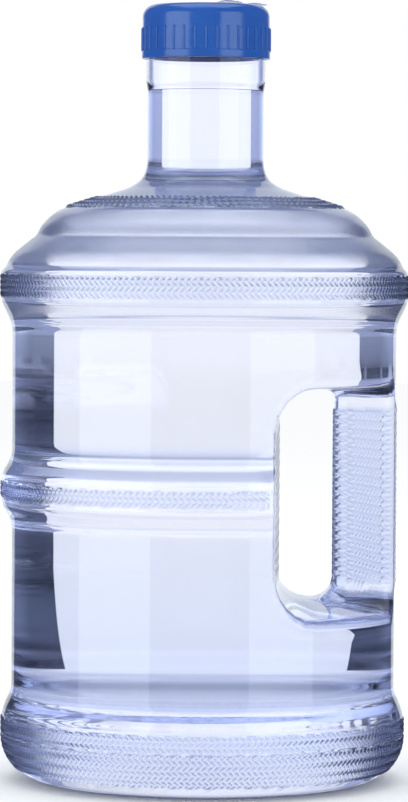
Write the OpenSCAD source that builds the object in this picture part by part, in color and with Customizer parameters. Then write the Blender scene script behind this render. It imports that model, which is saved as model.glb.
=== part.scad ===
// Large blow-moulded water jug with a moulded-in grip handle and a screw cap.
// Millimetres, +Z up. The jug stands on z = 0 with its axis on Z and its handle at +X.

/* [Body] */
// Radius of the plain body wall
body_r = 92; // [91:0.5:93]
// Radius of the waist band
waist_r = 96.9; // [96:0.1:97.4]
// Radius of the shoulder band, the widest part of the jug
shoulder_r = 97.4; // [97:0.1:98]
// Radius of the base band
base_r = 96.5; // [96:0.1:97.4]
// Height of the shoulder band's top edge
shoulder_z = 243.4; // [242:0.2:245]
// Height of the middle of the waist band
waist_z = 139.2; // [137:0.2:141]
// Wall of the body
body_wall = 1.4; // [1.2:0.1:1.8]

/* [Base] */
// Radius of the rounded heel
heel_r = 21.6; // [18:0.2:22]
// Inner radius of the flat ring that the jug stands on
foot_in_r = 70; // [68:0.5:72]
// Rise of the pushed-up bottom at its middle
push_up = 12; // [8:0.5:16]

/* [Neck] */
// Outer radius of the plain neck
neck_r = 27.8; // [27.6:0.1:28]
// Radius of the collar below the cap
collar_r = 28.5; // [28.3:0.1:28.5]
// Radius of the bore
bore_r = 25.6; // [25:0.1:25.8]
// Height of the rim
rim_z = 364.75; // [364.6:0.05:364.8]

/* [Thread] */
// Height that the cap rises in one turn, on two starts
lead = 10; // [9.5:0.5:10.5]
// Root radius of the neck thread
neck_root_r = 27.2; // [27:0.1:27.3]
// Inner radius of the cap, the root of its thread
cap_in_r = 28.9; // [28.9:0.1:29.2]
// Height of a thread ridge
ridge_h = 1.3; // [1.1:0.1:1.4]

/* [Cap] */
// Height of the cap's lower rim
cap_z = 345.1; // [344.8:0.1:345.8]
// Height of the cap's top
cap_top = 371; // [370.8:0.1:371.4]
// Outer radius of the ribbed skirt
skirt_r = 30.75; // [30.6:0.05:31]
// Radius of the plain dome above the step
dome_r = 30.4; // [30.2:0.05:30.5]
// Number of grip ribs
rib_count = 36; // [24:1:48]

/* [Handle] */
// Distance from the axis to the pocket's back wall
pocket_x = 34; // [32:0.5:36]
// Height of the pocket's floor
pocket_low = 85; // [84:0.5:88]
// Height of the pocket's ceiling
pocket_high = 190; // [186:0.5:192]
// Radius of the pocket's two back corners
pocket_corner = 15; // [12:0.5:20]
// Distance from the axis to the grip's inner face
grip_x = 62.9; // [61:0.5:64]
// Depth of the grip from front to back
grip_depth = 33; // [28:1:38]
// Radius of the grip's long edges
grip_round = 9; // [6:0.5:12]

/* [Seal] */
// Radius of the paper seal on the cap
seal_r = 18.5; // [17:0.5:21]
// Thickness of the paper seal
seal_t = 0.35; // [0.3:0.05:0.5]
// Width of the pull tab
tab_w = 12; // [8:1:16]
// Distance from the axis to the tab's free end
tab_reach = 29; // [27:0.5:30]
// Thickness of the tab
tab_t = 0.4; // [0.3:0.05:0.5]

/* [Hidden] */
$fn = 96;

jug_blue = [0.72, 0.81, 0.95, 0.45];
cap_blue = [0.17, 0.34, 0.63];
foam_white = [0.93, 0.94, 0.95];
label_lilac = [0.82, 0.85, 0.96];
tab_blue = [0.2, 0.38, 0.75];

neck_low = 291.4;                     // where the shoulder has become the neck
collar_low = 333.6;                   // lower edge of the collar
collar_top = 349;                     // upper edge of the collar
thread_z = 351;                       // height of the neck thread's start
thread_turn = 340;                    // degrees that one neck ridge runs
cap_turn = 180;                       // degrees that one cap ridge runs
cap_phase = -1.75;                    // cap ridge below the neck ridge that holds it
run_out = 20;                         // degrees over which a ridge rises from its root
ridge_base = 2.2;
ridge_crest = 0.8;
liner_t = 1.25;
slip = 0.05;                          // gap between parts that rest on each other
through = 240;                        // longer than the jug is deep
step_angle = 10;

function arc(cx, cz, r, from, to, steps) =
    [for (i = [0 : steps]) let (a = from + (to - from) * i / steps) [cx + r * cos(a), cz + r * sin(a)]];

// Outside of the jug from the middle of the bottom to the foot of the neck, as [radius, height]
dome_big_r = (foot_in_r * foot_in_r + push_up * push_up) / (2 * push_up);
dome_half = asin(foot_in_r / dome_big_r);
shell_line = concat(
    arc(0, push_up - dome_big_r, dome_big_r, 90, 90 - dome_half, 5),
    arc(base_r - heel_r, heel_r, heel_r, -90, 0, 6),
    [[base_r, 32], [base_r - 1.3, 36], [body_r, 42.7],
     [body_r, waist_z - 15.6], [waist_r, waist_z - 7.2], [waist_r, waist_z + 7.2], [body_r, waist_z + 15.4],
     [body_r, 217.4], [body_r + 1.2, 221], [shoulder_r - 0.9, 227], [shoulder_r, 229],
     [shoulder_r, shoulder_z], [shoulder_r - 1.9, shoulder_z + 1.9], [91.9, 251.5], [84, 257.8],
     [81.1, 260.6], [78.5, 265.4], [69.1, 273.1], [48, 279.8], [35.8, 283.7], [30.2, 287.5], [neck_r, neck_low]]);

neck_line = [[neck_r, 330.2], [collar_r, collar_low], [collar_r, collar_top], [neck_root_r, collar_top + 0.6],
             [neck_root_r, rim_z - 0.75], [neck_root_r - 0.5, rim_z], [0, rim_z]];

// The same line moved into the jug by the wall's thickness w, with mitred corners
function side(a, b) = let (d = b - a) [-d[1], d[0]] / norm(d);
function inset(line, w) = [for (i = [0 : len(line) - 1])
    let (before = side(line[max(i - 1, 0)], line[max(i, 1)]),
         after = side(line[min(i, len(line) - 2)], line[min(i + 1, len(line) - 1)]),
         p = line[i] + w * (before + after) / (1 + before * after))
    [i == 0 ? 0 : p[0], p[1]]];

module solid_jug() {
    rotate_extrude() polygon(concat(shell_line, neck_line));
}

module jug_hollow() {
    inner = inset(shell_line, body_wall);
    last = len(inner) - 2;
    rotate_extrude() polygon(concat([for (i = [0 : last]) inner[i]],
        [[bore_r, neck_low], [bore_r, rim_z + 2], [0, rim_z + 2]]));
}

// A slot through the jug from front to back, open at +X. grow thickens it for the wall behind it.
module pocket(grow) {
    x0 = pocket_x - grow;
    z0 = pocket_low - grow;
    z1 = pocket_high + grow;
    r = pocket_corner;
    rotate([90, 0, 0]) linear_extrude(through, center = true) union() {
        translate([x0 + r, z0]) square([shoulder_r + 10 - x0 - r, z1 - z0]);
        translate([x0, z0 + r]) square([r + 1, z1 - z0 - 2 * r]);
        translate([x0 + r, z0 + r]) circle(r);
        translate([x0 + r, z1 - r]) circle(r);
    }
}

// The vertical bar of the grip, shrunk all round by the wall's thickness for its inside
module grip(shrink) {
    x0 = grip_x + shrink;
    half = grip_depth / 2 - shrink;
    r = grip_round - shrink;
    far = body_r - shrink;
    z0 = pocket_low - 6;
    intersection() {
        translate([0, 0, z0]) cylinder(r = far, h = pocket_high + 6 - z0, $fn = 180);
        translate([0, 0, z0 - 1]) linear_extrude(pocket_high + 8 - z0) union() {
            translate([x0 + r, -half]) square([far - x0 - r + 5, 2 * half]);
            translate([x0, r - half]) square([r + 1, 2 * (half - r)]);
            for (s = [-1, 1]) translate([x0 + r, s * (half - r)]) circle(r);
        }
    }
}

// One helical ridge with a trapezoid section. turn is its length in degrees, out is 1 for a
// ridge that stands outwards from root and -1 for one that stands inwards.
module ridge(root, z0, start, turn, out) {
    steps = ceil(turn / step_angle);
    inside = root - out * 0.6;
    points = [for (i = [0 : steps])
        let (t = turn * i / steps,
             rise = min(1, t / run_out, (turn - t) / run_out),
             top = root + out * (ridge_h * rise - 0.1 * (1 - rise)),
             a = start + t,
             z = z0 + lead * t / 360)
        for (p = [[inside, -ridge_base], [top, -ridge_crest], [top, ridge_crest], [inside, ridge_base]])
            [p[0] * cos(a), p[0] * sin(a), z + out * p[1] / 2]];
    walls = [for (i = [0 : steps - 1]) for (j = [0 : 3])
        let (k = (j + 1) % 4, a = 4 * i + j, b = 4 * i + k, c = a + 4, d = b + 4)
        each [[a, b, d], [a, d, c]]];
    last = 4 * steps;
    polyhedron(points, concat(walls, [[3, 2, 1, 0], [last, last + 1, last + 2, last + 3]]));
}

module bottle() {
    color(jug_blue) difference() {
        union() {
            difference() {
                solid_jug();
                pocket(0);
            }
            grip(0);
            for (k = [0, 1]) ridge(neck_root_r, thread_z, 180 * k, thread_turn, 1);
        }
        difference() {
            jug_hollow();
            pocket(body_wall);
        }
        grip(body_wall);
    }
}

module cap_shell() {
    round_r = 6;
    roof = cap_top - 2;
    land = rim_z + liner_t + 2 * slip;
    color(cap_blue) union() {
        difference() {
            rotate_extrude() polygon(concat(
                [[0, cap_z], [skirt_r - 0.4, cap_z], [skirt_r, cap_z + 0.4], [skirt_r, 359], [dome_r, 359.3]],
                arc(dome_r - round_r, cap_top - round_r, round_r, 0, 90, 6), [[0, cap_top]]));
            rotate_extrude() polygon([[0, cap_z - 1], [cap_in_r, cap_z - 1], [cap_in_r, land], [24.5, land],
                [23.4, roof], [0, roof]]);
        }
        for (i = [0 : rib_count - 1]) rotate(360 * i / rib_count)
            translate([skirt_r - 0.6, -0.45, cap_z + 3.4]) cube([0.95, 0.9, 11.7]);
        for (k = [0, 1]) ridge(cap_in_r, thread_z + cap_phase + lead / 6, 60 + 180 * k, cap_turn, -1);
    }
}

module cap_liner() {
    color(foam_white) translate([0, 0, rim_z + slip]) cylinder(r = cap_in_r - 0.5, h = liner_t);
}

module seal_label() {
    color(label_lilac) translate([0, 0, cap_top + slip]) cylinder(r = seal_r, h = seal_t);
}

// A tongue with two round corners at its free end. It meets the seal's edge at its crease.
module label_tab() {
    corner = 3;
    x0 = seal_r + 2 * slip;
    square_len = tab_reach - x0 - corner;
    color(tab_blue) translate([x0, -tab_w / 2, cap_top + 0.15]) linear_extrude(tab_t) union() {
        square([square_len, tab_w]);
        translate([0, corner]) square([tab_reach - x0, tab_w - 2 * corner]);
        for (y = [corner, tab_w - corner]) translate([square_len, y]) circle(corner);
    }
}

bottle();
cap_shell();
cap_liner();
seal_label();
label_tab();
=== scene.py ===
# Large water jug: the pieces as a maker would put them together, from the moulded bottle to the
# seal on its cap. Lengths in the shape code are millimetres and become metres in each mesh.
import math

import bpy
import numpy as np
from mathutils import Matrix, Vector
from mathutils.geometry import delaunay_2d_cdt


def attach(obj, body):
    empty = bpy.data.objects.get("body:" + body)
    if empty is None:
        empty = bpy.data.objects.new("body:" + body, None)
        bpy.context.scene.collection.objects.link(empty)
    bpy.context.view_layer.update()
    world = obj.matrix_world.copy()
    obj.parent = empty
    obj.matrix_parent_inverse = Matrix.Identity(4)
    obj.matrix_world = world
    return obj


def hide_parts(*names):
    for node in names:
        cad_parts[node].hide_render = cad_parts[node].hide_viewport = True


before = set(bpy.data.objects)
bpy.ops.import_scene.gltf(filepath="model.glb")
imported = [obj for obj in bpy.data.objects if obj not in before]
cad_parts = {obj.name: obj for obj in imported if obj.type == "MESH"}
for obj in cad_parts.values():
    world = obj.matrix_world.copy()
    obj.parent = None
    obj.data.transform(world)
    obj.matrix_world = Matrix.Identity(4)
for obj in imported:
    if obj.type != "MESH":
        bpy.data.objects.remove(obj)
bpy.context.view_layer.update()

# ---- Bottle: the jug itself -------------------------------------------------------------------
# One hollow shell of pale blue polycarbonate, blown in a two-part mould. The mould is etched with
# a zigzag weave on the bands, the shoulder and the grip, which stands proud on the outside only.
# The grip is blown in the same shot: the mould's two cores meet behind it and leave its opening.
MM = 0.001
BODY_R, WAIST_R, SHOULDER_R, BASE_R = 92.0, 96.9, 97.4, 96.5
HEEL_R = 21.6                     # rounding between wall and foot
HEEL_WEAVE = -48                  # degrees below the wall where the heel's weave starts
FOOT_IN_R, PUSH_UP = 70.0, 12.0   # inner edge of the foot ring, rise of the bottom inside it
NECK_R, COLLAR_R, THREAD_ROOT_R, BORE_R = 27.8, 28.5, 27.2, 25.6
NECK_FOOT_Z, RIM_Z = 291.4, 364.75
WALL, NECK_WALL = 1.4, 2.2
NECK_WALL_FROM, NECK_WALL_OVER = 280.0, 12.0            # height where the wall thickens, and over how much
EDGE_GAP = 0.6                    # distance from a corner of the row that holds the shading there
CELL = 2.7                        # one stroke of the weave, three mesh steps each way
STEP = CELL / 3
WEAVE_DEPTH = 0.7
STROKE_TIP = 0.55                 # height of a stroke where it meets the next row's
VALLEY = 0.01                     # height between the strokes, which marks where the mould is etched
ETCHED_GROUND = 0.3               # how matt that is next to a stroke, and how much of the strokes' painted shade it takes
TOP_WEAVE_Z, TOP_WEAVE = 262.0, 1.7     # the shoulder's top is etched deeper
GRIP_WEAVE, POCKET_WEAVE = 1.8, 0.5     # so is the grip's inner face, and the pocket's wall less
FADE, FADE_FROM, FADE_OVER = 0.75, -10.0, 40.0          # front to back, the etching fades to a quarter, and the strokes' painted shade with it
PLAIN_COLUMNS, WOVEN_COLUMNS = (144, 96), (624, 336)    # points round the jug, below its top and on it
INSIDE_COLUMNS = 96

# The pocket for the fingers. The mouth is its outline on the body, along the wall and up, the lip
# is where the wall starts to round into it, and the throat is the through hole halfway back.
HALF_GRIP = 16.5                  # half the grip's depth, front to back
GRIP_X = 62.9                     # its inner face
MOUTH_LEFT = math.acos(33.2 / BODY_R) * BODY_R
MOUTH_RIGHT = math.asin(HALF_GRIP / BODY_R) * BODY_R
MOUTH_LOW, MOUTH_HIGH = 82.0, 190.0
LIP_LEFT, LIP_RIGHT, LIP_LOW, LIP_HIGH = 2.4, 5.2, 5.0, 3.8
THROAT = (36.0, GRIP_X, 87.0, 187.4)
THROAT_ROUND = 9.0
PATCH = 82.5                      # degrees each side of the grip that the pocket's patch spans
PATCH_LOW, PATCH_HIGH = 70.0, 203.0
WALL_LOW, WALL_HIGH, WALL_IN_R = 60.0, 215.0, 80.0      # the upright wall round the pocket is within these
NEAR_LIP = {True: 2.4, False: 5.0}      # mesh step there, points nearer to the lip than half of it go
GRIP_ZONE = 40.0                  # along the wall from the grip's middle, where no band runs
FACE_LOW, FACE_HIGH, FACE_HALF = 95.0, 178.0, 10.5      # the woven part of the grip's outer face
# For the fine skin and the plain one: points on the left, the top, the right, the bottom and a corner,
# and steps along the lip, the leg, the corner and the throat
POCKET_POINTS = {True: (40, 12, 118, 12, 6), False: (14, 6, 22, 6, 4)}
POCKET_STEPS = {True: (4, 24, 8, 9), False: (3, 5, 4, 2)}


def arc(cx, cz, r, start, end, steps):
    angles = np.radians(np.linspace(start, end, steps + 1))
    return [(cx + r * math.cos(a), cz + r * math.sin(a)) for a in angles]


def rows_along(corners, fine):
    """Rows (radius, height, relief row or -1) up a line of corners (radius, height, rounding, woven).
    woven is 1 where the straight that leaves the corner carries the weave."""
    turns = 6 if fine else 3
    longest = 6.0 if fine else 14.0
    rows, relief_row = [], 0
    p = [np.array(c[:2], float) for c in corners]

    def reach(i):
        """How far the rounding of corner i runs along its straights, at most near half of each."""
        if not 0 < i < len(p) - 1 or not corners[i][2]:
            return 0.0
        straights = (np.linalg.norm(p[i] - p[i - 1]), np.linalg.norm(p[i + 1] - p[i]))
        return min(corners[i][2], 0.48 * straights[0], 0.48 * straights[1])

    for i, here in enumerate(p):
        start = here
        if reach(i):
            into = (p[i - 1] - here) / np.linalg.norm(p[i - 1] - here) * reach(i)
            out = (p[i + 1] - here) / np.linalg.norm(p[i + 1] - here) * reach(i)
            for t in np.linspace(0, 1, turns + 1):
                spot = here + into * (1 - t) ** 2 + out * t ** 2
                rows.append((spot[0], spot[1], -1))
            start = here + out
        else:
            rows.append((here[0], here[1], -1))
        if i == len(p) - 1:
            break
        after = p[i + 1]
        end = after + (here - after) / np.linalg.norm(here - after) * reach(i + 1)
        run = np.linalg.norm(end - start)
        etched = fine and corners[i][3] == 1
        if etched:
            pieces = max(1, math.ceil(run / STEP))
            shares = [k / pieces for k in range(1, pieces)]
        else:
            pieces = max(1, math.ceil((run - 2 * EDGE_GAP) / longest))
            shares = [(EDGE_GAP + (run - 2 * EDGE_GAP) * k / pieces) / run for k in range(pieces + 1)]
            if run <= 4 * EDGE_GAP:
                shares = []
        for share in shares:
            relief_row += int(etched)
            spot = start + (end - start) * share
            rows.append((spot[0], spot[1], relief_row if etched else -1))
    return rows


def outline(fine, top=RIM_Z):
    """The jug's outside from the middle of the bottom to the rim, as rows."""
    dome_r = (FOOT_IN_R ** 2 + PUSH_UP ** 2) / (2 * PUSH_UP)
    dome_end = 90 - math.degrees(math.asin(FOOT_IN_R / dome_r))
    dome = arc(0, PUSH_UP - dome_r, dome_r, 90, dome_end, 8 if fine else 5)
    heel_plain = arc(BASE_R - HEEL_R, HEEL_R, HEEL_R, -90, HEEL_WEAVE, 4 if fine else 2)
    heel_steps = round(math.radians(-HEEL_WEAVE) * HEEL_R / STEP) if fine else 5
    heel_woven = arc(BASE_R - HEEL_R, HEEL_R, HEEL_R, HEEL_WEAVE, 0, heel_steps)
    rows = [(r, z, -1) for r, z in dome + heel_plain]
    rows += [(r, z, k + 1 if fine else -1) for k, (r, z) in enumerate(heel_woven[1:])]
    upper = [(BASE_R, HEEL_R + 0.4, 0, 1), (BASE_R, 31.6, 0.8, 0), (BASE_R - 1.2, 36.0, 3, 0),
             (BODY_R, 42.7, 5, 0), (BODY_R, 123.6, 4, 0), (WAIST_R, 132.0, 3, 1), (WAIST_R, 146.4, 3, 0),
             (BODY_R, 154.8, 4, 0), (BODY_R, 217.8, 5, 0), (SHOULDER_R - 1.2, 226.4, 3, 0),
             (SHOULDER_R, 229.2, 1.5, 1), (SHOULDER_R, 243.4, 1.2, 0), (95.4, 245.4, 1.5, 0),
             (92.2, 251.2, 4, 0), (84.0, 257.9, 5, 0), (80.6, 260.4, 1.5, 0), (78.4, 265.2, 3, 0),
             (73.4, 270.2, 3, 0), (69.1, 273.1, 2, 1), (48.0, 279.8, 4, 0), (35.8, 283.7, 5, 0),
             (30.0, 287.6, 4, 0), (NECK_R, 294.0, 4, 0)]
    if fine:
        upper += [(NECK_R, 330.2, 1.5, 0), (COLLAR_R, 333.6, 1.5, 0), (COLLAR_R, 349.0, 0.3, 0),
                  (THREAD_ROOT_R, 349.7, 0.3, 0), (THREAD_ROOT_R, RIM_Z - 0.8, 0.5, 0),
                  (THREAD_ROOT_R - 0.7, RIM_Z, 0, 0)]
    else:
        upper += [(NECK_R, min(top, RIM_Z - 0.5), 0, 0)]
    return rows + [(r, z, j + heel_steps if j > 0 else -1) for r, z, j in rows_along(upper, fine)]


def columns_at(z, j, fine):
    """How many points go round the jug in a row."""
    if not fine:
        return INSIDE_COLUMNS
    low, high = WOVEN_COLUMNS if j > 0 else PLAIN_COLUMNS
    return low if z < TOP_WEAVE_Z else high


def weave(i, j):
    """Height of the weave, 0 to 1, at step i along and step j up: dashes that lean right, then left."""
    leans_right = (j // 3) % 2 == 0
    across = (i - j) % 3 if leans_right else (i + j) % 3
    if across:
        return VALLEY
    return 1.0 if j % 3 else STROKE_TIP


def round_box(x0, x1, z0, z1, radii, counts):
    """Points round a rectangle with rounded corners: up the left side, along the top, down and back.
    radii are left low, left high, right high, right low; counts are for left, top, right, bottom, corner."""
    ll, lh, rh, rl = radii
    left, top, right, bottom, corner = counts
    sides = [((x0, z0 + ll), (x0, z1 - lh), left), ((x0 + lh, z1), (x1 - rh, z1), top),
             ((x1, z1 - rh), (x1, z0 + rl), right), ((x1 - rl, z0), (x0 + ll, z0), bottom)]
    turns = [(x0 + lh, z1 - lh, lh, 180, 90), (x1 - rh, z1 - rh, rh, 90, 0),
             (x1 - rl, z0 + rl, rl, 0, -90), (x0 + ll, z0 + ll, ll, -90, -180)]
    points = []
    for (a, b, n), turn in zip(sides, turns):
        points += [(a[0] + (b[0] - a[0]) * t, a[1] + (b[1] - a[1]) * t) for t in np.arange(n) / n]
        points += arc(*turn, corner)[:-1]
    return np.array(points)


def in_polygon(loop, x, y):
    xs, ys = loop[:, 0], loop[:, 1]
    xn, yn = np.roll(xs, -1), np.roll(ys, -1)
    crosses = (ys > y) != (yn > y)
    at = xs + (y - ys) * (xn - xs) / np.where(crosses, yn - ys, 1)
    return bool(np.count_nonzero(crosses & (x < at)) % 2)


def joined_rows(low, high, relief_row=-1):
    """Faces between two rows given as [(share of a turn, point)], which may have different counts.
    The squares of a woven row are split along its strokes."""
    faces = []
    a = b = 0
    while a < len(low) - 1 or b < len(high) - 1:
        low_ends, high_ends = a == len(low) - 1, b == len(high) - 1
        if high_ends or (not low_ends and low[a + 1][0] < high[b + 1][0] - 1e-6):
            faces.append((low[a][1], low[a + 1][1], high[b][1]))
            a += 1
        elif low_ends or high[b + 1][0] < low[a + 1][0] - 1e-6:
            faces.append((low[a][1], high[b + 1][1], high[b][1]))
            b += 1
        else:
            p, q, s, t = low[a][1], low[a + 1][1], high[b + 1][1], high[b][1]
            if relief_row < 0:
                faces.append((p, q, s, t))
            elif (relief_row // 3) % 2 == 0:
                faces += [(p, q, s), (p, s, t)]
            else:
                faces += [(p, q, t), (q, s, t)]
            a, b = a + 1, b + 1
    return faces


def patch_faces(flat, owner, edges, inside_hole):
    """Triangles through flat points (along, up) that keep the edges and leave the hole open."""
    out = delaunay_2d_cdt([Vector(p) for p in flat], edges, [], 0, 1e-5)
    assert len(out[0]) == len(flat), "the pocket's patch gained points"
    faces = []
    for tri in out[2]:
        ids = [out[3][v][0] for v in tri]
        a, b, c = (flat[i] for i in ids)
        if inside_hole((a[0] + b[0] + c[0]) / 3, (a[1] + b[1] + c[1]) / 3):
            continue
        area = (b[0] - a[0]) * (c[1] - a[1]) - (c[0] - a[0]) * (b[1] - a[1])
        if abs(area) < 1e-7:
            continue
        owners = [owner[i] for i in ids]
        faces.append(tuple(owners if area > 0 else owners[::-1]))
    return faces


def pocket_paths(lip, mouth, throat, steps):
    """For each point of the lip, the points from there into the pocket and back to its middle."""
    paths = []
    for edge, p, (x, z) in zip(lip, mouth, throat):
        corner = np.array((x, -HALF_GRIP, z))
        middle = np.array((x, 0.0, z))
        long = np.linalg.norm(corner - p)
        leg = (corner - p) / long
        leg_start = p + leg * min(np.linalg.norm(edge - p), 0.45 * long)
        leg_end = corner - leg * min(THROAT_ROUND, 0.45 * long)
        inner = corner + (middle - corner) / HALF_GRIP * THROAT_ROUND
        curve = np.arange(steps[0]) / steps[0]
        path = [edge * (1 - t) ** 2 + p * 2 * t * (1 - t) + leg_start * t * t for t in curve]
        path += [leg_start + (leg_end - leg_start) * t for t in np.arange(steps[1]) / steps[1]]
        curve = np.arange(steps[2]) / steps[2]
        path += [leg_end * (1 - t) ** 2 + corner * 2 * t * (1 - t) + inner * t * t for t in curve]
        path += [inner + (middle - inner) * t for t in np.arange(steps[3] + 1) / steps[3]]
        paths.append(path)
    return paths


def jug_skin(fine, top=RIM_Z):
    """The jug's surface with no wall: points (mm), weave heights, faces and the top row's points."""
    points, raised, faces = [], [], []
    rows = outline(fine, top)
    wall_z, wall_r = zip(*sorted((z, r) for r, z, _ in rows if WALL_LOW < z < WALL_HIGH and r > WALL_IN_R))

    def add(x, y, z, height=0.0):
        points.append((x, y, z))
        raised.append(height)
        return len(points) - 1

    def radius_at(z):
        return float(np.interp(z, wall_z, wall_r))

    def on_wall(u, z, height=0.0):
        r = radius_at(z) if abs(u) > GRIP_ZONE else BODY_R
        return (r * math.cos(u / BODY_R), r * math.sin(u / BODY_R), z, height)

    # The three outlines of the pocket, point for point
    counts = POCKET_POINTS[fine]
    mouth = round_box(-MOUTH_LEFT, -MOUTH_RIGHT, MOUTH_LOW, MOUTH_HIGH, (21, 21, 9, 9), counts)
    lip = round_box(-MOUTH_LEFT - LIP_LEFT, -MOUTH_RIGHT + LIP_RIGHT, MOUTH_LOW - LIP_LOW,
                    MOUTH_HIGH + LIP_HIGH, (25, 24, 12, 13), counts)
    throat = round_box(*THROAT, (13, 13, 5, 12), counts)
    for loop in (mouth, lip):                   # the waist band doesn't push the pocket's left edge out
        for m, (u, z) in enumerate(loop):
            if abs(u) > GRIP_ZONE:
                loop[m, 0] = -math.acos(BODY_R * math.cos(u / BODY_R) / radius_at(z)) * BODY_R

    def inside_hole(u, z):
        return in_polygon(lip, -abs(u), z)

    hole = {s: [add(*on_wall(s * u, z)) for u, z in lip] for s in (1, -1)}     # front, back
    low_row = max(k for k, (r, z, _) in enumerate(rows) if z < PATCH_LOW and r > WALL_IN_R)
    high_row = min(k for k, (r, z, _) in enumerate(rows) if z > PATCH_HIGH and k > low_row)
    patch_reach = math.radians(PATCH) * BODY_R
    rings = []                                  # per row: columns, and the point of each column or None
    patch = []                                  # (u, z, point) for the triangulation
    for k, (r, z, j) in enumerate(rows):
        if r < 0.01:
            rings.append((1, [add(0, 0, z)]))
            continue
        n = columns_at(z, j, fine)
        ring = []
        for i in range(n):
            a = 2 * math.pi * i / n
            u = (a if a < math.pi else a - 2 * math.pi) * BODY_R
            in_patch = low_row < k < high_row and abs(u) < patch_reach - 0.01
            if in_patch:
                gap = 0.55 * (STEP if j > 0 else NEAR_LIP[fine])
                near = np.min((lip[:, 0] + abs(u)) ** 2 + (lip[:, 1] - z) ** 2) < gap ** 2
                on_grip = abs(u) < MOUTH_RIGHT and FACE_LOW - 1 < z < FACE_HIGH + 1
                if near or on_grip or inside_hole(u, z):
                    ring.append(None)
                    continue
            height = weave(i, j) * (TOP_WEAVE if z > TOP_WEAVE_Z else 1.0) if j > 0 else 0.0
            rr = r if abs(u) > GRIP_ZONE or not in_patch else BODY_R
            ring.append(add(rr * math.cos(a), rr * math.sin(a), z, height))
            if low_row <= k <= high_row and abs(u) < patch_reach + 0.01:
                patch.append((u, z, ring[-1]))
        rings.append((n, ring))

    # The grip's outer face has its own fine grid for the weave
    face_half = MOUTH_RIGHT - LIP_RIGHT
    if fine:
        across = int(face_half / STEP)
        for j in range(int((FACE_HIGH - FACE_LOW) / STEP) + 1):
            for i in range(-across, across + 1):
                u, z = i * STEP, FACE_LOW + j * STEP
                if face_half - abs(u) > 0.5 * STEP:
                    height = weave(i + 30, j + 3) if abs(u) < FACE_HALF else 0
                    patch.append((u, z, add(*on_wall(u, z, height))))
    else:
        for z in np.arange(FACE_LOW + 1, FACE_HIGH, 8.0):
            for u in (-5.0, 5.0):
                patch.append((u, z, add(*on_wall(u, z))))

    for k in range(len(rows) - 1):
        (n_low, low), (n_high, high) = rings[k], rings[k + 1]
        if n_low == 1:
            faces += [(low[0], high[(i + 1) % n_high], high[i]) for i in range(n_high)]
            continue
        pair = []
        for n, ring in ((n_low, low), (n_high, high)):
            first = round(n * PATCH / 360) if low_row <= k < high_row else 0
            pair.append([(i / n, ring[i % n]) for i in range(first, n - first + 1)])
        faces += joined_rows(*pair, rows[k][2] if rows[k][2] > 0 and rows[k + 1][2] > 0 else -1)

    # The wall round the pocket, triangulated flat and taken back to the round
    flat = [(u, z) for u, z, _ in patch]
    owner = [p for _, _, p in patch]
    edges = []
    for s in (1, -1):
        start = len(flat)
        flat += [(s * u, z) for u, z in lip]
        owner += hole[s]
        edges += [(start + m, start + (m + 1) % len(lip)) for m in range(len(lip))]
    faces += patch_faces(flat, owner, edges, inside_hole)

    # The pocket's own walls: each point of the lip runs back along its path to the middle
    on_lip = [np.array(on_wall(u, z)[:3]) for u, z in lip]
    on_mouth = [np.array(on_wall(u, z)[:3]) for u, z in mouth]
    paths = pocket_paths(on_lip, on_mouth, throat, POCKET_STEPS[fine])
    deep = len(paths[0])
    size = len(lip)
    right_start = counts[0] + counts[1] + 2 * counts[4]

    def pocket_weave(m, k):
        if not fine or k < 3 or not FACE_LOW < paths[m][k][2] < FACE_HIGH:
            return 0.0
        if right_start - 2 <= m < right_start + counts[2] + 2:
            return GRIP_WEAVE * weave(k, m)
        return POCKET_WEAVE * weave(k, 2 * m) if m < counts[0] else 0.0

    middle = [add(*paths[m][-1], pocket_weave(m, deep - 1)) for m in range(size)]
    for s in (1, -1):
        previous = hole[s]
        for k in range(1, deep):
            current = middle
            if k < deep - 1:
                places = [path[k] for path in paths]
                current = [add(x, s * y, z, pocket_weave(m, k)) for m, (x, y, z) in enumerate(places)]
            for m in range(size):
                n = (m + 1) % size
                quad = (previous[m], current[m], current[n], previous[n])
                faces.append(quad if s == 1 else quad[::-1])
            previous = current
    return np.array(points), np.array(raised), faces, rings[-1][1]


def point_normals(points, faces):
    """Unit normals at the points, from the faces round each one."""
    tris = [f[:3] for f in faces] + [(f[0], f[2], f[3]) for f in faces if len(f) == 4]
    a, b, c = (points[corner] for corner in np.array(tris).T)
    total = np.zeros_like(points)
    for corner in np.array(tris).T:
        np.add.at(total, corner, np.cross(b - a, c - a))
    return total / np.linalg.norm(total, axis=1)[:, None]


def wall_thickness(z):
    return WALL + (NECK_WALL - WALL) * np.clip((z - NECK_WALL_FROM) / NECK_WALL_OVER, 0, 1)


def inner_wall(points, faces, wetting=0.0):
    """The skin's points moved in by the wall, less wetting, with a straight bore through the neck."""
    depth = wall_thickness(points[:, 2]) - wetting
    moved = points - point_normals(points, faces) * depth[:, None]
    in_neck = points[:, 2] > NECK_FOOT_Z + 2
    from_axis = np.linalg.norm(moved[in_neck, :2], axis=1)
    moved[in_neck, :2] *= ((BORE_R + wetting) / from_axis)[:, None]
    return moved


def placed(name, data):
    """A new object in the scene."""
    obj = bpy.data.objects.new(name, data)
    bpy.context.scene.collection.objects.link(obj)
    return obj


def finished(name, points, faces, material):
    """A smooth-shaded mesh object at the origin from points in millimetres."""
    mesh = bpy.data.meshes.new(name)
    mesh.from_pydata([tuple(p) for p in np.asarray(points) * MM], [], faces)
    mesh.validate()
    mesh.polygons.foreach_set("use_smooth", [True] * len(mesh.polygons))
    mesh.materials.append(material)
    return placed(name, mesh)


def feed(tree, socket, value):
    """Sets a socket to a number or a colour, or links another socket to it."""
    if isinstance(value, (int, float)):
        socket.default_value = value
    elif isinstance(value, tuple):
        socket.default_value = (*value, 1)
    else:
        tree.links.new(value, socket)


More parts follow.
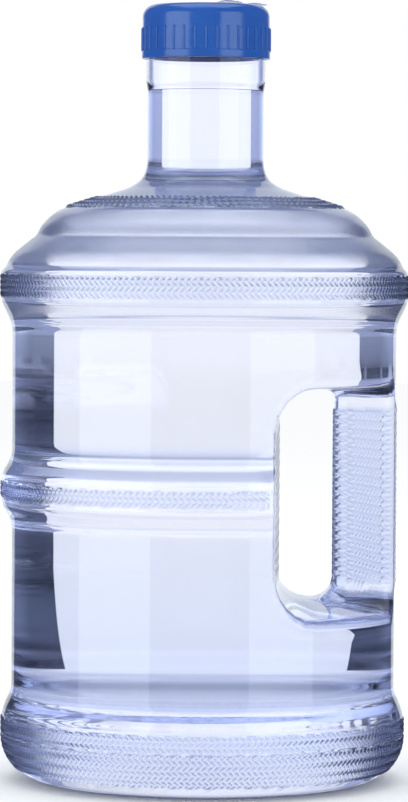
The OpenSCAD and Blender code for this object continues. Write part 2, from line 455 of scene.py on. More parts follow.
def maths(tree, operation, *values):
    node = tree.nodes.new("ShaderNodeMath")
    node.operation = operation
    for socket, value in zip(node.inputs, values):
        feed(tree, socket, value)
    return node.outputs[0]


def mixed(tree, factor, low, high, blend="MIX"):
    node = tree.nodes.new("ShaderNodeMix")
    node.data_type = "RGBA"
    node.blend_type = blend
    feed(tree, node.inputs[0], factor)
    feed(tree, node.inputs[6], low)
    feed(tree, node.inputs[7], high)
    return node.outputs[2]


def ramp(tree, factor, stops, interpolation="LINEAR"):
    """A colour ramp through stops (place, colour or grey)."""
    node = tree.nodes.new("ShaderNodeValToRGB")
    node.color_ramp.interpolation = interpolation
    elements = node.color_ramp.elements
    elements[0].position, elements[1].position = stops[0][0], stops[-1][0]
    for k, (place, colour) in enumerate(stops):
        element = elements.new(place) if 0 < k < len(stops) - 1 else elements[min(k, len(elements) - 1)]
        element.color = (*colour, 1) if isinstance(colour, tuple) else (colour, colour, colour, 1)
    tree.links.new(factor, node.inputs[0])
    return node.outputs["Color"]


def between(tree, factor, low, high, start=0.3, end=0.7, kind="LINEAR"):
    """A colour or number that runs from low to high as factor goes from start to end."""
    if isinstance(low, tuple):
        return ramp(tree, factor, [(start, low), (end, high)])
    node = tree.nodes.new("ShaderNodeMapRange")
    node.interpolation_type = kind
    for socket, value in zip(node.inputs, (factor, start, end, low, high)):
        feed(tree, socket, value)
    return node.outputs["Result"]


def noise(tree, scale, detail=2.0):
    """A noise texture on Object coordinates, scale in waves a metre."""
    node = tree.nodes.new("ShaderNodeTexNoise")
    node.inputs["Scale"].default_value = scale
    node.inputs["Detail"].default_value = detail
    tree.links.new(tree.nodes.new("ShaderNodeTexCoord").outputs["Object"], node.inputs["Vector"])
    return node.outputs["Fac"]


def object_axes(tree):
    """The three Object coordinates, each on its own socket."""
    split = tree.nodes.new("ShaderNodeSeparateXYZ")
    tree.links.new(tree.nodes.new("ShaderNodeTexCoord").outputs["Object"], split.inputs[0])
    return split.outputs


def clear_material(name, tint, ior):
    """Clear glossy material: the tint sits in the shader's own colour."""
    material = bpy.data.materials.new(name)
    material.use_nodes = True
    shader = material.node_tree.nodes["Principled BSDF"]
    shader.inputs["Base Color"].default_value = (*tint, 1)
    shader.inputs["Transmission Weight"].default_value = 1
    shader.inputs["IOR"].default_value = ior
    shader.inputs["Roughness"].default_value = 0.0
    return material


# The step below the shoulder is frosted, and the etched weave is matt; its strokes are tinted a deeper blue
# as painted shade, for the light their relief scatters and bends away
FROSTED = ((0.0, 0.0), (0.2464, 0.0), (0.2474, 1.0), (0.2712, 1.0), (0.2726, 0.0))   # height in metres
RAMP_TOP = 0.4
polycarbonate = clear_material("clear_blue_polycarbonate", (0.97, 0.975, 0.997), 1.585)
tree = polycarbonate.node_tree
thickness_tint = tree.nodes.new("ShaderNodeVolumeAbsorption")
thickness_tint.inputs["Color"].default_value = (0.40, 0.55, 0.93, 1)
thickness_tint.inputs["Density"].default_value = 26.0
tree.links.new(thickness_tint.outputs[0], tree.nodes["Material Output"].inputs["Volume"])
height = maths(tree, "DIVIDE", object_axes(tree)["Z"], RAMP_TOP)
frosted = ramp(tree, height, [(z / RAMP_TOP, matt) for z, matt in FROSTED])
roughness = maths(tree, "MULTIPLY", frosted, between(tree, noise(tree, 60.0), 0.16, 0.30, 0.0, 1.0))
stroke = tree.nodes.new("ShaderNodeAttribute")
stroke.attribute_name = "stroke"
etched_roughness = maths(tree, "MULTIPLY_ADD", stroke.outputs["Fac"], 0.17, roughness)
feed(tree, tree.nodes["Principled BSDF"].inputs["Roughness"], etched_roughness)
hue = mixed(tree, noise(tree, 9.0), (0.985, 0.988, 0.998), (0.955, 0.962, 0.996))
# Painted shade: the strokes' colour runs to a deeper blue that stands in for the light their etched relief
# scatters and bends away
hue_with_painted_stroke_shade = mixed(tree, stroke.outputs["Fac"], hue, (0.52, 0.60, 0.84))
feed(tree, tree.nodes["Principled BSDF"].inputs["Base Color"], hue_with_painted_stroke_shade)

outer, raised, bottle_faces, outer_rim = jug_skin(True)
# The weave's relief and its painted shade fade from front to back
fade_to_back = 1 - FADE * np.clip((outer[:, 1] - FADE_FROM) / FADE_OVER, 0, 1)
outer = outer + point_normals(outer, bottle_faces) * (raised * fade_to_back * WEAVE_DEPTH)[:, None]
inner, _, inner_faces, inner_rim = jug_skin(False)
inner = inner_wall(inner, inner_faces)
shift = len(outer)
bottle_faces += [tuple(v + shift for v in f[::-1]) for f in inner_faces]
rims = (outer_rim, [v + shift for v in inner_rim])
bottle_faces += joined_rows(*([(i / len(rim), v) for i, v in enumerate(rim + rim[:1])] for rim in rims))
bottle = finished("jug_bottle", np.vstack([outer, inner]), bottle_faces, polycarbonate)
# The stroke attribute carries both the matt finish and the painted shade of the strokes, weaker towards the
# back
etched = np.where(raised > 0, ETCHED_GROUND, 0.0)
stroke_values = np.clip(etched + (1 - ETCHED_GROUND) * raised * fade_to_back ** 2, 0, 1)
strokes = bottle.data.attributes.new("stroke", "FLOAT", "POINT")
strokes.data.foreach_set("value", np.concatenate([stroke_values, np.zeros(len(inner))]))
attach(bottle, "jug")
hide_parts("bottle")

# ---- Water: what the jug is filled with ---------------------------------------------------------
# Drinking water up to the top of the neck, a little below the collar. It wets the wall, so its skin
# is laid a hair's breadth into the plastic, and it climbs the neck in a small meniscus.
WATER_Z, WATER_EDGE_Z = 330.0, 330.35
WETTING = 0.1
MENISCUS = ((25.35, 0.15), (24.9, 0.03), (23.4, 0.0), (12.0, 0.0))     # radius, rise above WATER_Z


def ring_at(r, z, around):
    return [(r * math.cos(t), r * math.sin(t), z) for t in 2 * math.pi * np.arange(around) / around]


clear_water = clear_material("water", (0.975, 0.985, 1.0), 1.333)
tree = clear_water.node_tree
swirl = between(tree, noise(tree, 14.0), (0.970, 0.981, 1.0), (0.980, 0.989, 1.0))
feed(tree, tree.nodes["Principled BSDF"].inputs["Base Color"], swirl)
fill, _, fill_faces, previous = jug_skin(False, WATER_EDGE_Z)
fill = inner_wall(fill, fill_faces, WETTING)
around = len(previous)
for r, rise in MENISCUS:
    current = list(range(len(fill), len(fill) + around))
    fill = np.vstack([fill, ring_at(r, WATER_Z + rise, around)])
    fill_faces += [(previous[i - 1], previous[i], current[i], current[i - 1]) for i in range(around)]
    previous = current
fill = np.vstack([fill, [(0, 0, WATER_Z)]])
fill_faces += [(previous[i - 1], previous[i], len(fill) - 1) for i in range(around)]
water = finished("water", fill, fill_faces, clear_water)
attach(water, "jug")

# ---- Neck thread: what the cap screws on to -----------------------------------------------------
# Two low ridges on the neck, 180 degrees apart, each nearly one turn at 10 mm a turn. They are
# blown with the bottle in the neck's split ring and fade into the wall at both ends.
THREAD_Z, THREAD_LEAD, NECK_TURN = 351.0, 10.0, 340.0
RIDGE_HIGH, RIDGE_FOOT = 1.3, 2.2
RUN_OUT = 20.0                    # degrees over which a ridge rises from its root
RIDGE_STEP = 3.75                 # degrees
RIDGE_SECTION = ((-0.08, -1.0), (0.12, -0.96), (0.75, -0.5), (0.96, -0.34), (1.0, -0.15),
                 (1.0, 0.15), (0.96, 0.34), (0.75, 0.5), (0.12, 0.96), (-0.08, 1.0))


def smooth(t):
    return t * t * (3 - 2 * t)


def thread_ridge(points, faces, root, low, start, turn, outwards):
    """Adds a helical ridge to the lists. outwards is 1 on the neck and -1 inside the cap."""
    steps = round(turn / RIDGE_STEP)
    first, size = len(points), len(RIDGE_SECTION)
    for i in range(steps + 1):
        t = turn * i / steps
        rise = 0.02 + 0.98 * smooth(min(1, t / RUN_OUT, (turn - t) / RUN_OUT))
        a = math.radians(start + t)
        for out, up in RIDGE_SECTION:
            r = root + outwards * RIDGE_HIGH * (out * rise if out > 0 else out)
            z = low + THREAD_LEAD * t / 360 + outwards * up * RIDGE_FOOT / 2
            points.append((r * math.cos(a), r * math.sin(a), z))
    for i in range(steps):
        for j in range(size):
            a, b = first + i * size + j, first + i * size + (j + 1) % size
            faces.append((a, a + size, b + size, b))
    last = first + steps * size
    faces.append(tuple(range(first, first + size)))
    faces.append(tuple(range(last + size - 1, last - 1, -1)))


thread_points, thread_faces = [], []
for start in (0, 180):
    thread_ridge(thread_points, thread_faces, THREAD_ROOT_R, THREAD_Z, start, NECK_TURN, 1)
neck_thread = finished("neck_thread", thread_points, thread_faces, polycarbonate)
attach(neck_thread, "jug")

# ---- Cap liner: the soft seal inside the cap ----------------------------------------------------
# A disc of white closed-cell foam, pressed into the cap's roof. The neck's rim leaves a shallow
# ring in its underside. It rises with the cap and isn't turned by it.
LINER_R, LINER_LOW, LINER_HIGH = 28.4, 364.8, 366.05
GROOVE_R = (BORE_R + THREAD_ROOT_R) / 2
# Distance from the groove's middle and height above the underside
GROOVE = ((-1.5, 0.0), (-1.0, 0.12), (-0.4, 0.17), (0.4, 0.17), (1.0, 0.12), (1.3, 0.02))
# The same for the disc's edge, from its outer radius
LINER_EDGE = ((-0.35, 0.0), (-0.1, 0.1), (0.0, 0.35))


def lathe(profile, around, closed=True):
    """Points and faces turned from (radius, height) pairs. A radius of 0 makes a pole."""
    points, faces, rings = [], [], []
    for r, z in profile:
        if r < 1e-6:
            rings.append([len(points)] * around)
            points.append((0, 0, z))
            continue
        rings.append(list(range(len(points), len(points) + around)))
        points += ring_at(r, z, around)
    pairs = list(zip(rings, rings[1:])) + ([(rings[-1], rings[0])] if closed else [])
    for low, high in pairs:
        for i in range(around):
            n = (i + 1) % around
            corners = [low[i], low[n], high[n], high[i]]
            face = [v for k, v in enumerate(corners) if v != corners[k - 1]]
            if len(face) > 2:
                faces.append(tuple(face))
    return points, faces


def opaque(name, low, high, patch, rough, grain, grain_depth, specular=0.5):
    """A moulded or printed finish: patch is the scale of its colour change, grain of its bumps."""
    material = bpy.data.materials.new(name)
    material.use_nodes = True
    tree = material.node_tree
    shader = tree.nodes["Principled BSDF"]
    shader.inputs["Specular IOR Level"].default_value = specular
    feed(tree, shader.inputs["Base Color"], between(tree, noise(tree, patch), low, high))
    feed(tree, shader.inputs["Roughness"], between(tree, noise(tree, 3 * patch), *rough))
    bump = tree.nodes.new("ShaderNodeBump")
    bump.inputs["Strength"].default_value = 0.6
    bump.inputs["Distance"].default_value = grain_depth
    feed(tree, bump.inputs["Height"], noise(tree, grain, 3.0))
    feed(tree, shader.inputs["Normal"], bump.outputs["Normal"])
    return material


foam = opaque("closed_cell_foam", (0.78, 0.79, 0.80), (0.86, 0.86, 0.86), 120, (0.75, 0.9),
              1900, 0.00008, 0.2)
liner_profile = [(0, LINER_LOW), (12, LINER_LOW)]
liner_profile += [(GROOVE_R + out, LINER_LOW + up) for out, up in GROOVE]
liner_profile += [(LINER_R + out, LINER_LOW + up) for out, up in LINER_EDGE]
liner_profile += [(LINER_R + out, LINER_HIGH - up) for out, up in LINER_EDGE[::-1]]
liner_profile += [(12, LINER_HIGH), (0, LINER_HIGH)]
liner = finished("cap_liner_disc", *lathe(liner_profile, 120, False), foam)
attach(liner, "liner")
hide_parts("cap_liner")

# ---- Cap: the blue screw cap ---------------------------------------------------------------------
# Injection-moulded polyethylene in strong blue. A ribbed skirt a hair wider than the dome above it,
# a plain rim below the ribs, and two ridges inside that engage the neck's thread.
CAP_LOW, CAP_TOP = 345.1, 371.0
SKIRT_R, DOME_R, DOME_ROUND = 30.75, 30.4, 6.0
GROUND_R = SKIRT_R - 0.18         # the skirt between the ribs
CAP_IN_R, LAND_Z, ROOF_Z = 28.9, 366.1, 369.0
CAP_PHASE, CAP_TURN = -1.75, 180.0
CAP_THREAD_Z = THREAD_Z + CAP_PHASE + THREAD_LEAD / 6
RIBS, RIB_WIDE, RIB_R = 36, 1.2, 31.1
RIB_LOW = 348.5


def translucent(material, weight, radius, scale):
    """Lets light some way into an opaque finish."""
    inputs = material.node_tree.nodes["Principled BSDF"].inputs
    inputs["Subsurface Weight"].default_value = weight
    inputs["Subsurface Radius"].default_value = radius
    inputs["Subsurface Scale"].default_value = scale


cap_plastic = opaque("blue_moulded_cap", (0.007, 0.070, 0.325), (0.012, 0.088, 0.365), 30, (0.13, 0.21),
                     1400, 0.000012, 1.0)
translucent(cap_plastic, 0.4, (0.3, 0.5, 1.0), 0.003)
cap_profile = [(CAP_IN_R + 0.25, CAP_LOW)]
cap_profile += arc(SKIRT_R - 0.5, CAP_LOW + 0.5, 0.5, -90, 0, 5)
cap_profile += [(SKIRT_R, z) for z in (347.8, 348.3)]
cap_profile += arc(SKIRT_R - 0.25, RIB_LOW, 0.25, 0, 40, 2)
cap_profile += [(GROUND_R, z) for z in (349.2, 352.0, 355.5, 358.4)]
cap_profile += [(SKIRT_R - 0.2, 359.0), (SKIRT_R - 0.28, 359.3)]
cap_profile += [(DOME_R, z) for z in (359.7, 361.2, 363.0)]
cap_profile += arc(DOME_R - DOME_ROUND, CAP_TOP - DOME_ROUND, DOME_ROUND, 0, 90, 12)
cap_profile += [(20.5, CAP_TOP), (20.2, CAP_TOP - 0.03), (19.6, CAP_TOP - 0.04), (10, CAP_TOP - 0.05)]
cap_profile += [(1.6, CAP_TOP - 0.05), (1.2, CAP_TOP - 0.3), (0, CAP_TOP - 0.35)]
cap_profile += [(0, ROOF_Z), (12, ROOF_Z), (23.1, ROOF_Z), (23.6, ROOF_Z - 0.5)]
cap_profile += [(24.4, LAND_Z + 0.2), (24.8, LAND_Z), (28.5, LAND_Z)]
cap_profile += [(CAP_IN_R, LAND_Z - 0.4), (CAP_IN_R, 358.0), (CAP_IN_R, CAP_LOW + 0.3)]
cap_points, cap_faces = lathe(cap_profile, 180)
for start in (60, 240):
    thread_ridge(cap_points, cap_faces, CAP_IN_R, CAP_THREAD_Z, start, CAP_TURN, -1)
cap = finished("screw_cap", cap_points, cap_faces, cap_plastic)
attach(cap, "cap")
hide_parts("cap_shell")

# ---- Cap ribs: the finger grip round the skirt ---------------------------------------------------
# Thirty-six thin upright ribs moulded with the cap. Each has a round back and runs out at both
# ends, and its top stands clear of the dome above the skirt's step.
RIB_ROOT_R = SKIRT_R - 0.25
RIB_ROWS = ((0.0, 0.15), (0.25, 0.6), (0.7, 0.92), (1.4, 1.0), (5.8, 1.0), (10.3, 1.0),
            (11.0, 0.92), (11.45, 0.6), (11.7, 0.15))             # height above RIB_LOW, fullness

rib_points, rib_faces = [], []
rib_section = [(math.cos(t), math.sin(t)) for t in np.radians(np.linspace(-90, 90, 7))]
width = len(rib_section)
for up, full in RIB_ROWS:
    for out, along in rib_section:
        x = RIB_ROOT_R + (RIB_R - RIB_ROOT_R) * full * out
        rib_points.append((x, RIB_WIDE / 2 * along * (0.5 + 0.5 * full), RIB_LOW + up))
for i in range(len(RIB_ROWS) - 1):
    for j in range(width):
        a, b = i * width + j, i * width + (j + 1) % width
        rib_faces.append((a, b, b + width, a + width))
rib_faces.append(tuple(range(width - 1, -1, -1)))
rib_faces.append(tuple(range(len(rib_points) - width, len(rib_points))))
one_rib = finished("one_rib", rib_points, rib_faces, cap_plastic)

tree = bpy.data.node_groups.new("ribs_round_a_cap", "GeometryNodeTree")
tree.interface.new_socket("Geometry", in_out="INPUT", socket_type="NodeSocketGeometry")
count_socket = tree.interface.new_socket("Rib count", in_out="INPUT", socket_type="NodeSocketInt")
finish_socket = tree.interface.new_socket("Finish", in_out="INPUT", socket_type="NodeSocketMaterial")
tree.interface.new_socket("Geometry", in_out="OUTPUT", socket_type="NodeSocketGeometry")
given = tree.nodes.new("NodeGroupInput")
index = tree.nodes.new("GeometryNodeInputIndex")
spots = tree.nodes.new("GeometryNodePoints")
turned = tree.nodes.new("ShaderNodeCombineXYZ")
instances = tree.nodes.new("GeometryNodeInstanceOnPoints")
real = tree.nodes.new("GeometryNodeRealizeInstances")
painted = tree.nodes.new("GeometryNodeSetMaterial")
end = tree.nodes.new("NodeGroupOutput")
share = maths(tree, "DIVIDE", index.outputs[0], given.outputs["Rib count"])
feed(tree, turned.inputs["Z"], maths(tree, "MULTIPLY", share, 2 * math.pi))
feed(tree, spots.inputs["Count"], given.outputs["Rib count"])
feed(tree, instances.inputs["Points"], spots.outputs[0])
feed(tree, instances.inputs["Instance"], given.outputs["Geometry"])
feed(tree, instances.inputs["Rotation"], turned.outputs[0])
feed(tree, real.inputs[0], instances.outputs[0])
feed(tree, painted.inputs["Geometry"], real.outputs[0])
feed(tree, painted.inputs["Material"], given.outputs["Finish"])
feed(tree, end.inputs[0], painted.outputs[0])

modifier = one_rib.modifiers.new("ribs", "NODES")
modifier.node_group = tree
modifier[count_socket.identifier] = RIBS
modifier[finish_socket.identifier] = cap_plastic
bpy.context.view_layer.update()
evaluated = one_rib.evaluated_get(bpy.context.evaluated_depsgraph_get())
ribs_mesh = bpy.data.meshes.new_from_object(evaluated)
bpy.data.objects.remove(one_rib)
cap_ribs = placed("cap_ribs", ribs_mesh)
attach(cap_ribs, "cap")

# ---- Seal label: the film stuck on the cap -------------------------------------------------------
# A round of pale lilac film with a blue border, stuck on the cap's top to show that the jug is
# unopened. Its glue has let go towards the tab, so that side has lifted and waves a little.
SEAL_R, SEAL_Z, FILM = 18.5, 371.06, 0.12
SEAL_LOOPS = (1, 0.985, 0.94, 0.86, 0.77, 0.68, 0.58, 0.48, 0.38, 0.28, 0.18, 0.09)    # shares of SEAL_R
LIFT = 1.75                       # how far the film has come off at most
LIFT_FROM, LIFT_OVER = 1.0, 9.0   # along X
TAB_HOLDS = 5.0                   # length over which the tab's weld takes it down again
RINGS = ((0.0, 0), (0.55, 1), (0.585, 0), (0.80, 1), (0.93, 0))        # share of the radius, inked or not


def off_axis(tree, x, y):
    """Distance from the Z axis."""
    squares = maths(tree, "ADD", maths(tree, "MULTIPLY", x, x), maths(tree, "MULTIPLY", y, y))
    return maths(tree, "SQRT", squares)


def share_of(value, start, length):
    return max(0.0, min(1.0, (value - start) / length))


def seal_height(x, y):
    """Height of the film's underside at a point."""
    wave = 0.75 + 0.35 * math.sin(0.42 * x + 0.55) * math.cos(0.16 * y)
    held = smooth(share_of(SEAL_R + 1.0 - x, 0.0, TAB_HOLDS))
    return SEAL_Z + LIFT * smooth(share_of(x, LIFT_FROM, LIFT_OVER)) * wave * held


def film_sheet(loops, height, thick):
    """A thin closed sheet from loops of (x, y) that shrink to a middle point."""
    size = len(loops[0])
    flat_points = [p for loop in loops for p in loop] + [tuple(np.mean(loops[-1], axis=0))]
    count = len(flat_points)
    points, faces = [], []
    for up in (0, 1):
        points += [(x, y, height(x, y) + up * thick) for x, y in flat_points]
        sheet = []
        for i in range(size):
            n = (i + 1) % size
            for j in range(0, (len(loops) - 1) * size, size):
                sheet.append((j + i, j + n, j + size + n, j + size + i))
            sheet.append((count - 1 - size + i, count - 1 - size + n, count - 1))
        faces += [tuple(v + up * count for v in (f if up else f[::-1])) for f in sheet]
    faces += [(i, (i + 1) % size, count + (i + 1) % size, count + i) for i in range(size)]
    return points, faces


seal_film = opaque("pale_lilac_film", (0.70, 0.71, 0.86), (0.78, 0.79, 0.92), 90, (0.25, 0.4), 700, 0.00003)
translucent(seal_film, 0.9, (1, 1, 1), 0.0015)
tree = seal_film.node_tree
shader = tree.nodes["Principled BSDF"]
film_colour = shader.inputs["Base Color"].links[0].from_socket
x, y, _ = object_axes(tree)
print_place = maths(tree, "DIVIDE", off_axis(tree, x, y), SEAL_R * MM)
inked = ramp(tree, print_place, RINGS, "CONSTANT")
feed(tree, shader.inputs["Base Color"], mixed(tree, inked, film_colour, (0.04, 0.12, 0.50)))
seal_loops = [[(x, y) for x, y, _ in ring_at(SEAL_R * part, 0, 96)] for part in SEAL_LOOPS]
seal = finished("seal_film", *film_sheet(seal_loops, seal_height, FILM), seal_film)
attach(seal, "seal")
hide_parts("seal_label")

# ---- Pull tab: what tears the seal off -----------------------------------------------------------
# A tongue of stiffer blue film welded under the label's edge, with two round corners. It has kept
# the slight curl of the roll it was cut from, and a pale backing shows below its edge.
TAB_X0, TAB_X1, TAB_HALF, TAB_CORNER = 18.65, 28.9, 5.9, 3.0
TAB_Z, TAB_THICK = 371.19, 0.2
TAB_CURL, TAB_TWIST = 0.55, 0.12        # how far it curls up along its length, and across its free end
TAB_LOOPS = (0.0, 0.25, 0.9, 2.0, 3.2, 4.4, 5.3)                       # inset of each loop


def tab_outline(inset):
    x0, x1, half = TAB_X0 + inset, TAB_X1 - inset, TAB_HALF - inset
    corner = max(0.3, TAB_CORNER - inset)
    side = np.linspace(0, 1, 9)[1:-1]
    loop = [(x0, -half + 2 * half * t) for t in np.linspace(1, 0, 13)]
    loop += [(x0 + (x1 - corner - x0) * t, -half) for t in side]
    loop += arc(x1 - corner, -half + corner, corner, -90, 0, 6)
    loop += [(x1, -half + corner + 2 * (half - corner) * t) for t in np.linspace(0, 1, 7)[1:-1]]
    loop += arc(x1 - corner, half - corner, corner, 0, 90, 6)
    loop += [(x1 - corner - (x1 - corner - x0) * t, half) for t in side]
    return loop


def tab_height(x, y):
    t = (x - TAB_X0) / (TAB_X1 - TAB_X0)
    curl = TAB_CURL * math.sin(math.pi * min(1, 1.15 * t))
    return TAB_Z + curl + TAB_TWIST * t * math.cos(0.5 * y)


tab_film = opaque("blue_tab_film", (0.03, 0.10, 0.42), (0.045, 0.13, 0.50), 160, (0.28, 0.4), 800, 0.00003)
tab_backing = opaque("pale_tab_backing", (0.62, 0.65, 0.86), (0.72, 0.75, 0.92), 160, (0.35, 0.5),
                     800, 0.00003)
for film in (tab_film, tab_backing):
    translucent(film, 0.9, (1, 1, 1), 0.0015)
tab_loops = [tab_outline(inset) for inset in TAB_LOOPS]
tab = finished("pull_tab", *film_sheet(tab_loops, tab_height, TAB_THICK), tab_film)
tab.data.materials.append(tab_backing)
for face in tab.data.polygons:
    if face.normal.z < -0.5:
        face.material_index = 1
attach(tab, "tab")
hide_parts("label_tab")

# ---- Studio: floor, backdrop, softboxes, flags and camera ---------------------------------------
# A white floor and backdrop, two softboxes in front and one above. Clear plastic full of water
# shows what stands around it, so it has surroundings of its own: a tent with a lit white back and
# dark flags at the sides that only clear plastic sees, and a plain grey room for gloss.
TENT_FLOOR = 0.001
TENT = ((0.0001, -0.0003), (0.104, -0.0003), (0.108, TENT_FLOOR), (1.3, TENT_FLOOR),
        (1.3, 1.5), (0.8, 2.1), (0.0001, 2.3))                   # radius and height in metres
ROOM = ((0.0001, -0.6), (3.4, -0.5), (3.4, 3.0), (0.0001, 3.2))
SWEEP = ((0.0001, -12), (12, -6), (12, 8), (0.0001, 14))
CARD_R, CARD_LOW, CARD_HIGH = 1.6, -0.4, 1.3
CARD_STEPS, CARD_STEP = 8, 3.2                                   # steps each side, degrees in one
FLOOR_HALF, FLOOR_Z = 6, -0.0005
EYE_LEVEL = 0.15                  # height that the tent's elevations are taken from
LEVELS = 60.0                     # its ramps run from this far below, in degrees, to this far above
FLAG_FROM, FLAG_LEAN, LEFT_FLAG = 31.0, 7.28, -2.0      # the flags' edges, by bearing from the back
NEAR_FLOOR, NEAR_BLUR = (0.38, 0.52), (90.0, 31.4)      # the edges blur where the floor is near the jug
# Painted shade: the tent's floor, where seen steeply, glows a dark blue for the shadowed floor near the jug
NEAR_FLOOR_SHADE = (0.22, 0.26, 0.42)
GRAZING = (0.58, 0.88)            # seen flatter than this, the floor shows the tent's colours instead, as a painted reflection of the tent
# Colours of the white back and the dark flags, by elevation in degrees
WHITE_BACK = ((-56, (0.55, 0.60, 0.86)), (-38, (0.68, 0.73, 0.96)), (-28, (0.76, 0.81, 1.0)),
              (-24, (0.67, 0.72, 0.92)), (-21, (0.67, 0.72, 0.92)), (-17, (0.91, 0.96, 1.10)),
              (-11, (0.96, 1.01, 1.14)), (-7, (1.01, 1.05, 1.16)), (-4, (1.06, 1.08, 1.14)),
              (0, (1.13, 1.13, 1.15)), (15, (1.13, 1.13, 1.15)), (30, (0.7, 0.72, 0.85)),
              (50, (0.5, 0.55, 0.7)))
DARK_FLAG = ((-50, (0.34, 0.40, 0.66)), (-28, (0.34, 0.40, 0.64)), (-21, (0.15, 0.17, 0.30)),
             (-16.4, (0.014, 0.017, 0.04)), (-13.2, (0.012, 0.015, 0.035)), (-12.2, (0.065, 0.08, 0.145)),
             (-8.1, (0.055, 0.07, 0.125)), (-7.4, (0.012, 0.016, 0.03)), (-6.4, (0.012, 0.016, 0.03)),
             (-5.6, (0.044, 0.052, 0.092)), (-2.4, (0.072, 0.088, 0.15)), (-1.6, (0.03, 0.034, 0.06)),
             (-1.25, (0.010, 0.012, 0.024)), (0.1, (0.012, 0.014, 0.028)), (0.45, (0.13, 0.15, 0.23)),
             (3, (0.28, 0.32, 0.47)), (14, (0.40, 0.45, 0.68)), (50, (0.5, 0.56, 0.8)))
# How much brighter the flags are away from their edge, by bearing in degrees
FLAG_GAIN = ((44, (1, 1, 1)), (54, (2.2, 2.2, 2.1)), (70, (3.4, 3.3, 3.1)), (100, (4.2, 4.0, 3.6)),
             (122, (2.6, 2.5, 2.4)), (180, (1.9, 1.9, 1.9)))
# Softboxes: name, bearing from the front, distance, height, size, radiance
SOFTBOXES = (("left_softbox", -54, 1.6, 0.4, (1.4, 1.6), 1.25),
             ("right_softbox", 47, 1.6, 0.4, (1.2, 1.6), 1.1),
             ("top_softbox", 180, 0.2, 1.9, (1.6, 1.6), 1.2))
LIGHT_COLOUR, LIGHT_AIM_Z = (0.84, 0.96, 1.0), 0.3


def stage_object(name, points, faces, material, seen_by):
    """A stage object from points in metres. seen_by lists the kinds of ray that meet it."""
    mesh = bpy.data.meshes.new(name)
    mesh.from_pydata(points, [], faces)
    mesh.materials.append(material)
    obj = placed(name, mesh)
    obj.visible_camera = "camera" in seen_by
    obj.visible_diffuse = "diffuse" in seen_by
    obj.visible_glossy = "glossy" in seen_by
    obj.visible_transmission = "transmission" in seen_by
    obj.visible_shadow = "shadow" in seen_by


def glowing(name, colour):
    """A material that only shines, in a colour that a link can replace."""
    material = bpy.data.materials.new(name)
    material.use_nodes = True
    tree = material.node_tree
    tree.nodes.clear()
    glow = tree.nodes.new("ShaderNodeEmission")
    feed(tree, glow.inputs["Color"], colour)
    tree.links.new(glow.outputs[0], tree.nodes.new("ShaderNodeOutputMaterial").inputs["Surface"])
    return material


tent_light = glowing("tent_light", NEAR_FLOOR_SHADE)
tree = tent_light.node_tree
x, y, z = object_axes(tree)
far = off_axis(tree, x, y)
rise = maths(tree, "DEGREES", maths(tree, "ARCTAN2", maths(tree, "SUBTRACT", z, EYE_LEVEL), far))
level = maths(tree, "DIVIDE", maths(tree, "ADD", rise, LEVELS), 2 * LEVELS)
white_part, dark_part = (ramp(tree, level, [((degrees + LEVELS) / (2 * LEVELS), colour)
                                            for degrees, colour in stops])
                         for stops in (WHITE_BACK, DARK_FLAG))
bearing = maths(tree, "DEGREES", maths(tree, "ABSOLUTE", maths(tree, "ARCTAN2", x, y)))
left_flag = maths(tree, "MULTIPLY", maths(tree, "LESS_THAN", x, 0.0), LEFT_FLAG)
bearing = maths(tree, "ADD", bearing, left_flag)
bearing = maths(tree, "ADD", bearing, maths(tree, "DIVIDE", FLAG_LEAN, far))
half_turns = maths(tree, "DIVIDE", bearing, 180.0)
gain = ramp(tree, half_turns, [(degrees / 180, gain) for degrees, gain in FLAG_GAIN])
dark_part = mixed(tree, 1.0, dark_part, gain, "MULTIPLY")
flag_to = between(tree, far, *NEAR_BLUR, *NEAR_FLOOR)
flag_mask = between(tree, bearing, 0.0, 1.0, FLAG_FROM, flag_to, "SMOOTHSTEP")
around_jug = mixed(tree, flag_mask, white_part, dark_part)
steep = tree.nodes.new("ShaderNodeLayerWeight")
steep.inputs["Blend"].default_value = 0.5
grazing = between(tree, steep.outputs["Facing"], 0.0, 1.0, *GRAZING, "SMOOTHSTEP")
off_floor = maths(tree, "GREATER_THAN", z, TENT_FLOOR + 0.00005)
seen = maths(tree, "MAXIMUM", grazing, off_floor)
# The tent's floor glows the painted shade near the jug, and the tent's colours as a painted reflection where
# seen flat
feed(tree, tree.nodes["Emission"].inputs["Color"], mixed(tree, seen, NEAR_FLOOR_SHADE, around_jug))
stage_object("tent", *lathe(TENT, 64, False), tent_light, ("transmission",))

card_points = []
for k in range(-CARD_STEPS, CARD_STEPS + 1):
    a = math.radians(CARD_STEP * k)
    card_points += [(CARD_R * math.sin(a), CARD_R * math.cos(a), z) for z in (CARD_LOW, CARD_HIGH)]
card_faces = [(2 * k, 2 * k + 2, 2 * k + 3, 2 * k + 1) for k in range(2 * CARD_STEPS)]
stage_object("card", card_points, card_faces, glowing("white_card", (0.9, 0.95, 1.0)), ("glossy",))
stage_object("room", *lathe(ROOM, 64, False), glowing("grey_room", (0.13, 0.16, 0.28)), ("glossy",))
stage_object("sweep", *lathe(SWEEP, 64, False), glowing("white_back", (1, 1, 1)), ("camera",))

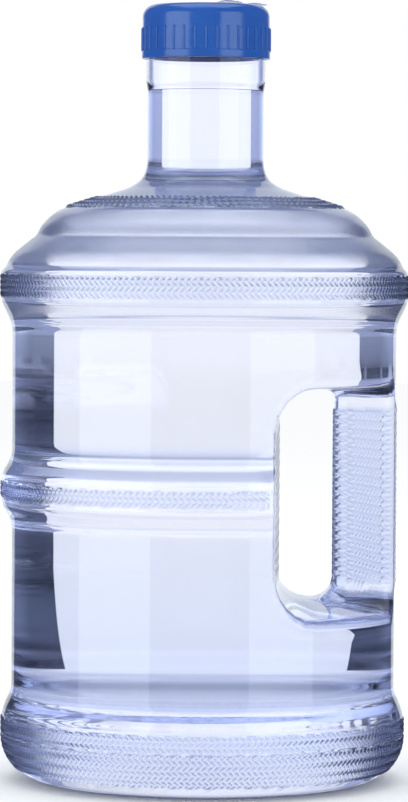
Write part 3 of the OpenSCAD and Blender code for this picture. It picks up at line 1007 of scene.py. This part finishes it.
floor_material = bpy.data.materials.new("pale_floor")
floor_material.use_nodes = True
shader = floor_material.node_tree.nodes["Principled BSDF"]
shader.inputs["Base Color"].default_value = (0.93, 0.93, 0.93, 1)
shader.inputs["Roughness"].default_value = 0.9
shader.inputs["Specular IOR Level"].default_value = 0.0
floor_points = [(x * FLOOR_HALF, y * FLOOR_HALF, FLOOR_Z) for x, y in ((-1, -1), (1, -1), (1, 1), (-1, 1))]
stage_object("floor", floor_points, [(0, 1, 2, 3)], floor_material,
             ("camera", "diffuse", "transmission", "shadow"))

world = bpy.data.worlds.new("studio")
bpy.context.scene.world = world
world.use_nodes = True
world.node_tree.nodes["Background"].inputs["Color"].default_value = (0.97, 0.98, 1.0, 1)
world.node_tree.nodes["Background"].inputs["Strength"].default_value = 1.05

for name, degrees, distance, height, size, radiance in SOFTBOXES:
    data = bpy.data.lights.new(name, "AREA")
    data.shape = "RECTANGLE"
    data.size, data.size_y = size
    data.energy = radiance * size[0] * size[1] * math.pi
    data.color = LIGHT_COLOUR
    light = placed(name, data)
    a = math.radians(degrees)
    light.location = (distance * math.sin(a), -distance * math.cos(a), height)
    aim = Vector((0, 0, LIGHT_AIM_Z)) - light.location
    light.rotation_euler = aim.to_track_quat("-Z", "Y").to_euler()
    light.visible_camera = False
    light.visible_transmission = False

# The camera stands 2 m off, a little above the middle, turned a third of a degree
DISTANCE, EYE_Z, AIM_Z, ROLL = 2.0, 0.254, 0.1814, math.radians(0.34)
SENSOR = 36                       # millimetres, along the picture's height
FIELD = 0.38496                   # metres at the jug that the picture's height takes in
camera_data = bpy.data.cameras.new("camera")
camera_data.sensor_width = SENSOR
camera_data.lens = SENSOR * DISTANCE / FIELD
camera = placed("camera", camera_data)
camera.location = (0, -DISTANCE, EYE_Z)
gaze = Vector((0, 0, AIM_Z)) - camera.location
level_view = gaze.to_track_quat("-Z", "Y").to_matrix().to_4x4()
camera.rotation_euler = (level_view @ Matrix.Rotation(ROLL, 4, "Z")).to_euler()
bpy.context.scene.camera = camera
bpy.context.scene.view_settings.view_transform = "Standard"
bpy.context.scene.cycles.max_bounces = 24
bpy.context.scene.cycles.transmission_bounces = 24
